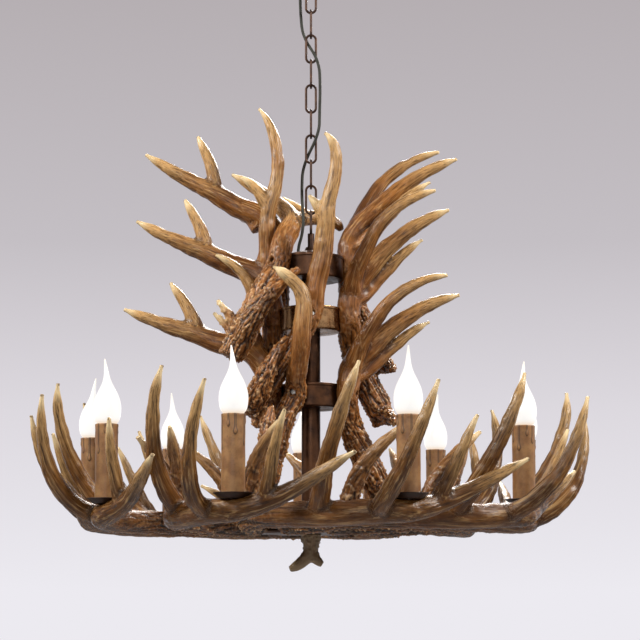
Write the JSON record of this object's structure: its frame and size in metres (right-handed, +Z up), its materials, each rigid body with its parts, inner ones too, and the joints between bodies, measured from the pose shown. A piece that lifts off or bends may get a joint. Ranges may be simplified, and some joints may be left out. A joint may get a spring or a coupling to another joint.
{
  "type": "antler chandelier",
  "caption": "Ceiling chandelier of cast antlers: a chain-hung stem with tiers of upright antlers above a wheel of lower antlers that carry candle lamps.",
  "frame": {"origin": "on the ceiling, at the centre of the canopy rim", "axes": "+Z up, -Y towards the viewer of the picture, +X to the right"},
  "size_m": [0.8538, 0.8444, 0.9627],
  "materials": {
    "antler": "cast resin, brown with pale tips",
    "steel": "zinc plated",
    "cord": "matt",
    "insulator": "matt",
    "sleeve": "waxy",
    "bulb": "frosted",
    "pan": "dark bronze",
    "chain": "dark bronze",
    "bronze": "satin bronze"
  },
  "bodies": {
    "canopy": {"ceiling_strap": "steel", "canopy": "bronze", "hanger_ring": "chain", "strap_nut": "steel", "canopy_nut": "bronze", "supply_cord": "cord"},
    "link_1": {"chain_link_1": "chain"},
    "link_2": {"chain_link_2": "chain"},
    "link_3": {"chain_link_3": "chain"},
    "link_4": {"chain_link_4": "chain"},
    "link_5": {"chain_link_5": "chain"},
    "link_6": {"chain_link_6": "chain"},
    "link_7": {"chain_link_7": "chain"},
    "link_8": {"chain_link_8": "chain"},
    "link_9": {"chain_link_9": "chain"},
    "lamp": {"top_eye": "chain", "eye_nut": "bronze", "top_cup": "bronze", "terminal_block": "insulator", "stem_tube": "bronze", "mid_collar": "bronze", "lower_collar": "bronze", "bottom_hub": "bronze", "finial": "antler", "finial_nut": "bronze", "lower_antler_1": "antler", "lower_antler_2": "antler", "lower_antler_3": "antler", "lower_antler_4": "antler", "lower_antler_5": "antler", "lower_antler_6": "antler", "lower_antler_7": "antler", "lower_antler_8": "antler", "lower_antler_9": "antler", "lower_antler_screws": "steel", "upper_left_top": "antler", "upper_left_mid": "antler", "upper_left_low": "antler", "upper_right_top": "antler", "upper_right_mid": "antler", "upper_right_low": "antler", "upper_front_top": "antler", "upper_front_mid": "antler", "upper_front_low": "antler", "upper_antler_screws": "steel", "drip_pans": "pan", "candle_nipples": "steel", "lamp_holders": "insulator", "candle_sleeves": "sleeve"},
    "bulb_1": {"bulb_1": "bulb"},
    "bulb_2": {"bulb_2": "bulb"},
    "bulb_3": {"bulb_3": "bulb"},
    "bulb_4": {"bulb_4": "bulb"},
    "bulb_5": {"bulb_5": "bulb"},
    "bulb_6": {"bulb_6": "bulb"},
    "bulb_7": {"bulb_7": "bulb"},
    "bulb_8": {"bulb_8": "bulb"},
    "bulb_9": {"bulb_9": "bulb"}
  },
  "joints": [
    {"name": "link_1_swing", "type": "hinge", "parent": "canopy", "child": "link_1", "pos_m": [0, 0, -0.073], "axis": [0, 1, 0], "range_deg": [-10, 10], "deforming": ["supply_cord"]},
    {"name": "link_2_swing", "type": "hinge", "parent": "link_1", "child": "link_2", "pos_m": [0, 0, -0.1119], "axis": [1, 0, 0], "range_deg": [-10, 10]},
    {"name": "link_3_swing", "type": "hinge", "parent": "link_2", "child": "link_3", "pos_m": [0, 0, -0.151], "axis": [0, 1, 0], "range_deg": [-10, 10]},
    {"name": "link_4_swing", "type": "hinge", "parent": "link_3", "child": "link_4", "pos_m": [0, 0, -0.1901], "axis": [1, 0, 0], "range_deg": [-10, 10]},
    {"name": "link_5_swing", "type": "hinge", "parent": "link_4", "child": "link_5", "pos_m": [0, 0, -0.2292], "axis": [0, 1, 0], "range_deg": [-10, 10]},
    {"name": "link_6_swing", "type": "hinge", "parent": "link_5", "child": "link_6", "pos_m": [0, 0, -0.2683], "axis": [1, 0, 0], "range_deg": [-10, 10]},
    {"name": "link_7_swing", "type": "hinge", "parent": "link_6", "child": "link_7", "pos_m": [0, 0, -0.3074], "axis": [0, 1, 0], "range_deg": [-10, 10]},
    {"name": "link_8_swing", "type": "hinge", "parent": "link_7", "child": "link_8", "pos_m": [0, 0, -0.3465], "axis": [1, 0, 0], "range_deg": [-10, 10]},
    {"name": "link_9_swing", "type": "hinge", "parent": "link_8", "child": "link_9", "pos_m": [0, 0, -0.3856], "axis": [0, 1, 0], "range_deg": [-10, 10]},
    {"name": "lamp_swing", "type": "hinge", "parent": "link_9", "child": "lamp", "pos_m": [0, 0, -0.4247], "axis": [1, 0, 0], "range_deg": [-10, 10]},
    {"name": "bulb_1_turn", "type": "hinge", "parent": "lamp", "child": "bulb_1", "pos_m": [-0.10099, -0.31837, -0.7696], "axis": [0, 0, 1], "continuous": true},
    {"name": "bulb_2_turn", "type": "hinge", "parent": "lamp", "child": "bulb_2", "pos_m": [0.12728, -0.3088, -0.7696], "axis": [0, 0, 1], "continuous": true},
    {"name": "bulb_3_turn", "type": "hinge", "parent": "lamp", "child": "bulb_3", "pos_m": [0.29599, -0.15474, -0.7696], "axis": [0, 0, 1], "continuous": true},
    {"name": "bulb_4_turn", "type": "hinge", "parent": "lamp", "child": "bulb_4", "pos_m": [0.32621, 0.07172, -0.7696], "axis": [0, 0, 1], "continuous": true},
    {"name": "bulb_5_turn", "type": "hinge", "parent": "lamp", "child": "bulb_5", "pos_m": [0.20379, 0.26462, -0.7696], "axis": [0, 0, 1], "continuous": true},
    {"name": "bulb_6_turn", "type": "hinge", "parent": "lamp", "child": "bulb_6", "pos_m": [-0.01399, 0.33371, -0.7696], "axis": [0, 0, 1], "continuous": true},
    {"name": "bulb_7_turn", "type": "hinge", "parent": "lamp", "child": "bulb_7", "pos_m": [-0.22522, 0.24664, -0.7696], "axis": [0, 0, 1], "continuous": true},
    {"name": "bulb_8_turn", "type": "hinge", "parent": "lamp", "child": "bulb_8", "pos_m": [-0.33107, 0.04417, -0.7696], "axis": [0, 0, 1], "continuous": true},
    {"name": "bulb_9_turn", "type": "hinge", "parent": "lamp", "child": "bulb_9", "pos_m": [-0.28201, -0.17897, -0.7696], "axis": [0, 0, 1], "continuous": true}
  ]
}
